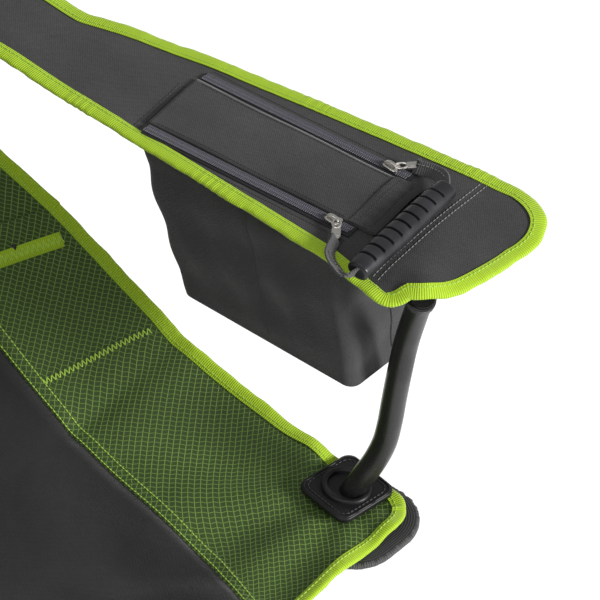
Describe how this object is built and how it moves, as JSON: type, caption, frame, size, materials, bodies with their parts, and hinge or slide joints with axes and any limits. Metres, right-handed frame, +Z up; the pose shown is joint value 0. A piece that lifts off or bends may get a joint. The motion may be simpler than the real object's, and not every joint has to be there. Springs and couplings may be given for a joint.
{
  "type": "folding camp chair",
  "caption": "Folding camp chair: scissor-leg steel tube frame, sling seat and back in charcoal and green cloth, arm with a zipped cooler and grip, cup holder in the other arm.",
  "frame": {"origin": "on the ground under the middle of the chair's box", "axes": "+Z up, the chair faces -Y, +X is the sitter's left, where the cooler arm is"},
  "size_m": [0.782, 0.7224, 0.9646],
  "materials": {
    "frame_steel": "satin powder coat",
    "rivet_steel": "satin",
    "moulded_plastic": "fine moulded grain",
    "patch_rubber": "matte",
    "grip_rubber": "satin",
    "charcoal_polyester": "plain weave, slight sheen",
    "green_ripstop": "ripstop grid",
    "lime_binding": "ribbed grosgrain",
    "black_webbing": "woven webbing",
    "black_mesh": "open mesh",
    "zip_tape": "woven tape with a nylon coil",
    "zip_metal": "nickel plated"
  },
  "bodies": {
    "foot_front_left": {"foot_front_left": "moulded_plastic"},
    "leg_left_outer": {"leg_left_outer": "frame_steel", "cross_rivet_left": "rivet_steel"},
    "leg_left_inner": {"leg_left_inner": "frame_steel"},
    "foot_rear_left": {"foot_rear_left": "moulded_plastic", "back_post_left": "frame_steel", "back_cap_left": "moulded_plastic", "back_panel": "charcoal_polyester"},
    "hub_rear_left": {"hub_rear_left": "moulded_plastic", "seat_tie_left": "black_webbing"},
    "hub_front_left": {"hub_front_left": "moulded_plastic", "arm_post_left": "frame_steel", "corner_patch_left": "patch_rubber", "corner_pocket_left": "black_webbing", "arm_sleeve_left": "black_webbing"},
    "leg_rear_outer": {"leg_rear_outer": "frame_steel", "cross_rivet_rear": "rivet_steel"},
    "leg_rear_inner": {"leg_rear_inner": "frame_steel"},
    "foot_rear_right": {"foot_rear_right": "moulded_plastic", "back_post_right": "frame_steel", "back_cap_right": "moulded_plastic"},
    "hub_rear_right": {"hub_rear_right": "moulded_plastic", "seat_tie_right": "black_webbing"},
    "leg_front_inner": {"leg_front_inner": "frame_steel", "cross_rivet_front": "rivet_steel"},
    "leg_front_outer": {"leg_front_outer": "frame_steel"},
    "foot_front_right": {"foot_front_right": "moulded_plastic"},
    "hub_front_right": {"hub_front_right": "moulded_plastic", "arm_post_right": "frame_steel", "corner_patch_right": "patch_rubber", "corner_pocket_right": "black_webbing", "arm_sleeve_right": "black_webbing"},
    "leg_right_inner": {"leg_right_inner": "frame_steel", "cross_rivet_right": "rivet_steel"},
    "leg_right_outer": {"leg_right_outer": "frame_steel"},
    "seat_left": {"seat_left": "green_ripstop"},
    "seat_right": {"seat_right": "green_ripstop"},
    "arm_left": {"arm_left": "charcoal_polyester", "cooler_bag": "charcoal_polyester", "zip_tape_inner": "zip_tape", "zip_tape_outer": "zip_tape"},
    "arm_right": {"arm_right": "charcoal_polyester", "cup_holder": "black_mesh"},
    "zip_pulls": {"zip_slider_inner": "zip_metal", "zip_slider_outer": "zip_metal", "zip_pull_inner": "zip_metal", "zip_pull_outer": "zip_metal"},
    "lid": {"cooler_lid": "charcoal_polyester"},
    "grip": {"cooler_grip": "grip_rubber", "pull_loop_inner": "black_webbing", "pull_loop_outer": "black_webbing"}
  },
  "joints": [
    {"name": "fold", "type": "hinge", "parent": "foot_front_left", "child": "leg_left_outer", "pos_m": [0.27, -0.23683, 0.034], "axis": [1, 0, 0], "range_deg": [0, 45], "deforming": ["seat_left", "seat_right", "back_panel", "arm_left", "arm_right", "cooler_lid", "zip_tape_inner", "zip_tape_outer", "cooler_bag", "cup_holder", "seat_tie_left", "seat_tie_right"]},
    {"name": "cross_left", "type": "hinge", "parent": "leg_left_outer", "child": "leg_left_inner", "pos_m": [0.27, 0.00117, 0.211], "axis": [1, 0, 0], "range_deg": [-90, 0]},
    {"name": "pivot_foot_rear_left", "type": "hinge", "parent": "leg_left_inner", "child": "foot_rear_left", "pos_m": [0.27, 0.23917, 0.034], "axis": [1, 0, 0], "range_deg": [0, 45]},
    {"name": "pivot_hub_rear_left", "type": "hinge", "parent": "leg_left_outer", "child": "hub_rear_left", "pos_m": [0.27, 0.23917, 0.388], "axis": [1, 0, 0], "range_deg": [-45, 0]},
    {"name": "pivot_hub_front_left", "type": "hinge", "parent": "leg_left_inner", "child": "hub_front_left", "pos_m": [0.27, -0.23683, 0.388], "axis": [1, 0, 0], "range_deg": [0, 45]},
    {"name": "pivot_leg_rear", "type": "hinge", "parent": "foot_rear_left", "child": "leg_rear_outer", "pos_m": [0.238, 0.27117, 0.034], "axis": [0, 1, 0], "range_deg": [0, 45]},
    {"name": "cross_rear", "type": "hinge", "parent": "leg_rear_outer", "child": "leg_rear_inner", "pos_m": [0, 0.27117, 0.211], "axis": [0, 1, 0], "range_deg": [-90, 0]},
    {"name": "pivot_foot_rear_right", "type": "hinge", "parent": "leg_rear_inner", "child": "foot_rear_right", "pos_m": [-0.238, 0.27117, 0.034], "axis": [0, 1, 0], "range_deg": [0, 45]},
    {"name": "pivot_hub_rear_right", "type": "hinge", "parent": "leg_rear_outer", "child": "hub_rear_right", "pos_m": [-0.238, 0.27117, 0.388], "axis": [0, 1, 0], "range_deg": [-45, 0]},
    {"name": "pivot_leg_front", "type": "hinge", "parent": "foot_front_left", "child": "leg_front_inner", "pos_m": [0.238, -0.26883, 0.034], "axis": [0, -1, 0], "range_deg": [-45, 0]},
    {"name": "cross_front", "type": "hinge", "parent": "leg_front_inner", "child": "leg_front_outer", "pos_m": [0, -0.26883, 0.211], "axis": [0, -1, 0], "range_deg": [0, 90]},
    {"name": "pivot_foot_front_right", "type": "hinge", "parent": "leg_front_outer", "child": "foot_front_right", "pos_m": [-0.238, -0.26883, 0.034], "axis": [0, -1, 0], "range_deg": [-45, 0]},
    {"name": "pivot_hub_front_right", "type": "hinge", "parent": "leg_front_inner", "child": "hub_front_right", "pos_m": [-0.238, -0.26883, 0.388], "axis": [0, -1, 0], "range_deg": [0, 45]},
    {"name": "pivot_leg_right", "type": "hinge", "parent": "foot_front_right", "child": "leg_right_inner", "pos_m": [-0.27, -0.23683, 0.034], "axis": [-1, 0, 0], "range_deg": [-45, 0]},
    {"name": "cross_right", "type": "hinge", "parent": "leg_right_inner", "child": "leg_right_outer", "pos_m": [-0.27, 0.00117, 0.211], "axis": [-1, 0, 0], "range_deg": [0, 90]},
    {"name": "seat_fold_left", "type": "hinge", "parent": "hub_front_left", "child": "seat_left", "pos_m": [0.27, 0.00117, 0.43], "axis": [0, 1, 0], "range_deg": [-70.01, 0]},
    {"name": "seat_fold_right", "type": "hinge", "parent": "hub_front_right", "child": "seat_right", "pos_m": [-0.27, 0.00117, 0.43], "axis": [0, 1, 0], "range_deg": [0, 70.01]},
    {"name": "arm_drop_left", "type": "hinge", "parent": "hub_front_left", "child": "arm_left", "pos_m": [0.295, -0.33483, 0.652], "axis": [1, 0, 0], "range_deg": [-46.51, 0]},
    {"name": "arm_drop_right", "type": "hinge", "parent": "hub_front_right", "child": "arm_right", "pos_m": [-0.295, -0.33483, 0.652], "axis": [1, 0, 0], "range_deg": [-46.51, 0]},
    {"name": "zip_slide", "type": "slide", "parent": "arm_left", "child": "zip_pulls", "axis": [-0.0958, 0.9954, 0], "range_m": [0, 0.13]},
    {"name": "lid_hinge", "type": "hinge", "parent": "arm_left", "child": "lid", "pos_m": [0.299, -0.09483, 0.6603], "axis": [-0.9954, -0.0958, 0], "range_deg": [0, 100]},
    {"name": "grip_flip", "type": "hinge", "parent": "zip_pulls", "child": "grip", "pos_m": [0.31692, -0.28097, 0.6665], "axis": [-0.9954, -0.0958, 0], "range_deg": [0, 120], "deforming": ["pull_loop_inner", "pull_loop_outer"]}
  ],
  "couplings": [
    {"joint": "cross_left", "follows": "fold", "ratio": -2},
    {"joint": "pivot_foot_rear_left", "follows": "fold", "ratio": 1},
    {"joint": "pivot_hub_rear_left", "follows": "fold", "ratio": -1},
    {"joint": "pivot_hub_front_left", "follows": "fold", "ratio": 1},
    {"joint": "pivot_leg_rear", "follows": "fold", "ratio": 1},
    {"joint": "cross_rear", "follows": "fold", "ratio": -2},
    {"joint": "pivot_foot_rear_right", "follows": "fold", "ratio": 1},
    {"joint": "pivot_hub_rear_right", "follows": "fold", "ratio": -1},
    {"joint": "pivot_leg_front", "follows": "fold", "ratio": -1},
    {"joint": "cross_front", "follows": "fold", "ratio": 2},
    {"joint": "pivot_foot_front_right", "follows": "fold", "ratio": -1},
    {"joint": "pivot_hub_front_right", "follows": "fold", "ratio": 1},
    {"joint": "pivot_leg_right", "follows": "fold", "ratio": -1},
    {"joint": "cross_right", "follows": "fold", "ratio": 2},
    {"joint": "seat_fold_left", "follows": "fold", "ratio": -1.5556},
    {"joint": "seat_fold_right", "follows": "fold", "ratio": 1.5556},
    {"joint": "arm_drop_left", "follows": "fold", "ratio": -1.0333},
    {"joint": "arm_drop_right", "follows": "fold", "ratio": -1.0333},
    {"joint": "lid_hinge", "follows": "zip_slide", "rad_per_m": 13.4}
  ]
}
